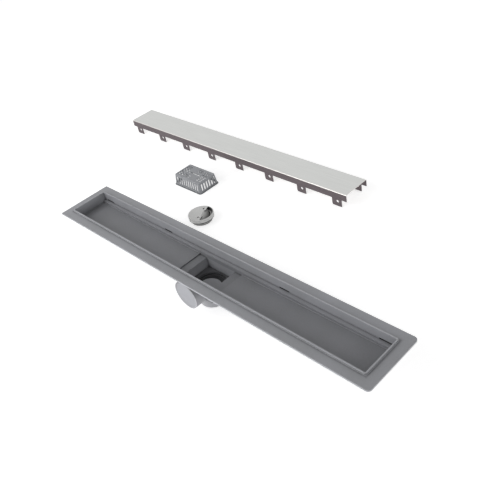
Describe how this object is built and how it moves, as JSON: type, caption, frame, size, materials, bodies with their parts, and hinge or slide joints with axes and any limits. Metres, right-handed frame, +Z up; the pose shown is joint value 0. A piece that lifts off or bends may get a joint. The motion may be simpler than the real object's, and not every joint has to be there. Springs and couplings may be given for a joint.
{
  "type": "linear shower drain",
  "caption": "Long shower channel with a flat flange, trap with side outlet, trap insert, slotted hair basket and a folded cover plate, the last three lifted out.",
  "frame": {"origin": "centre of the flat bottom of the trap cup, which the channel stands on, under the middle of the channel", "axes": "+X along the channel, -Y towards the side that the outlet leaves on, +Z up"},
  "size_m": [0.973, 0.426, 0.0785],
  "materials": {
    "channel": "fine moulded grain",
    "trap": "smooth moulded",
    "gasket": "matt",
    "screws": "satin",
    "plug": "smooth moulded",
    "insert": "smooth moulded",
    "seal": "matt",
    "basket": "smooth moulded",
    "cover": "fine satin"
  },
  "bodies": {
    "root": {"channel_tray": "channel", "trap_body": "trap", "trap_gasket": "gasket", "trap_screws": "screws", "outlet_plug": "plug", "trap_insert": "insert", "insert_seal": "seal", "hair_basket": "basket", "cover_plate": "cover"}
  },
  "joints": []
}
